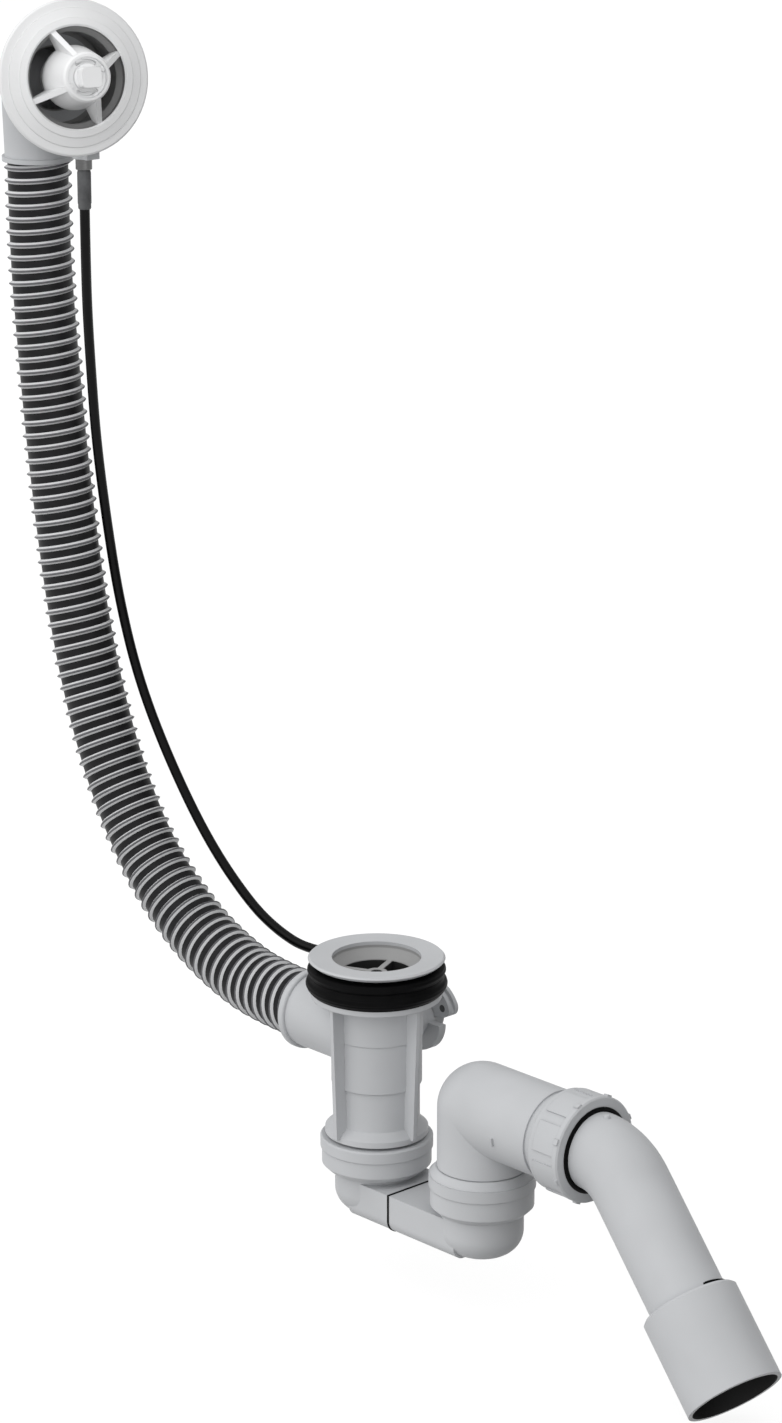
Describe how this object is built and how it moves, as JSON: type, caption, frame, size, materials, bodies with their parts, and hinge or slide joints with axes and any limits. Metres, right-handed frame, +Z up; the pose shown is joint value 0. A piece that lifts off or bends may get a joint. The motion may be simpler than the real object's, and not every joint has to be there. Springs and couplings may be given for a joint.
{
  "type": "bath waste and overflow",
  "caption": "Bath waste with strainer and lifter, ribbed overflow hose, turn spindle with control cable, and a flat tube trap with a swivelling bent outlet.",
  "frame": {"origin": "on the drain axis at the bath-floor seat, under the rim of the drain flange", "axes": "+Z up along the drain axis, +X from the drain towards the trap outlet, overflow behind at -X"},
  "size_m": [0.5718, 0.1128, 0.6457],
  "materials": {
    "pale_plastic": "matte moulded",
    "white_plastic": "matte moulded",
    "black_rubber": "satin",
    "hose_plastic": "matte",
    "cable_black": "satin",
    "boot_rubber": "satin",
    "plated_metal": "plated"
  },
  "bodies": {
    "base": {"drain_flange": "pale_plastic", "body_gasket": "black_rubber", "waste_body": "pale_plastic", "shaft_seal": "black_rubber", "cable_bracket": "pale_plastic", "cable_sheath": "cable_black", "cable_boot": "boot_rubber", "cable_ferrule": "plated_metal", "overflow_elbow": "pale_plastic", "overflow_gasket": "black_rubber", "overflow_faceplate": "white_plastic", "overflow_hub": "white_plastic", "overflow_hose": "hose_plastic", "hose_seal": "black_rubber"},
    "spindle": {"drive_spindle": "white_plastic", "wire_drum": "white_plastic", "wire_nipple_upper": "plated_metal"},
    "lever": {"lifter_shaft": "pale_plastic", "cable_quadrant": "pale_plastic", "wire_nipple_lower": "plated_metal"},
    "lifter": {"lifter_pin": "pale_plastic"},
    "trap": {"trap_inlet_cup": "pale_plastic", "trap_outlet_cup": "pale_plastic", "trap_seam_seal": "black_rubber", "inlet_cup_seal": "black_rubber", "outlet_cup_seal": "black_rubber"},
    "riser": {"riser_elbow": "pale_plastic", "union_nut": "pale_plastic", "union_seal": "black_rubber"},
    "outlet": {"outlet_bend": "pale_plastic", "outlet_sleeve": "pale_plastic", "sleeve_seal": "black_rubber"}
  },
  "joints": [
    {"name": "spindle_turn", "type": "hinge", "parent": "base", "child": "spindle", "pos_m": [-0.22137, -0.01643, 0.43525], "axis": [0.9305, -0.3387, 0.1392], "range_deg": [0, 84.2]},
    {"name": "lever_swing", "type": "hinge", "parent": "base", "child": "lever", "pos_m": [-0.012, 0, -0.0455], "axis": [0, -1, 0], "range_deg": [0, 40]},
    {"name": "lifter_rise", "type": "slide", "parent": "base", "child": "lifter", "axis": [0, 0, 1], "range_m": [0, 0.00821]},
    {"name": "trap_swivel", "type": "hinge", "parent": "base", "child": "trap", "pos_m": [0, 0, -0.1], "axis": [0, 0, 1], "range_deg": [-90, 90]},
    {"name": "riser_swivel", "type": "hinge", "parent": "trap", "child": "riser", "pos_m": [0.0794, 0, -0.1], "axis": [0, 0, 1], "range_deg": [-75, 75]},
    {"name": "outlet_swivel", "type": "hinge", "parent": "riser", "child": "outlet", "pos_m": [0.154, 0, -0.0581], "axis": [1, 0, 0], "range_deg": [-90, 90]}
  ],
  "couplings": [
    {"joint": "lever_swing", "follows": "lifter_rise", "rad_per_m": 85.03},
    {"joint": "spindle_turn", "follows": "lifter_rise", "rad_per_m": 178.99}
  ]
}
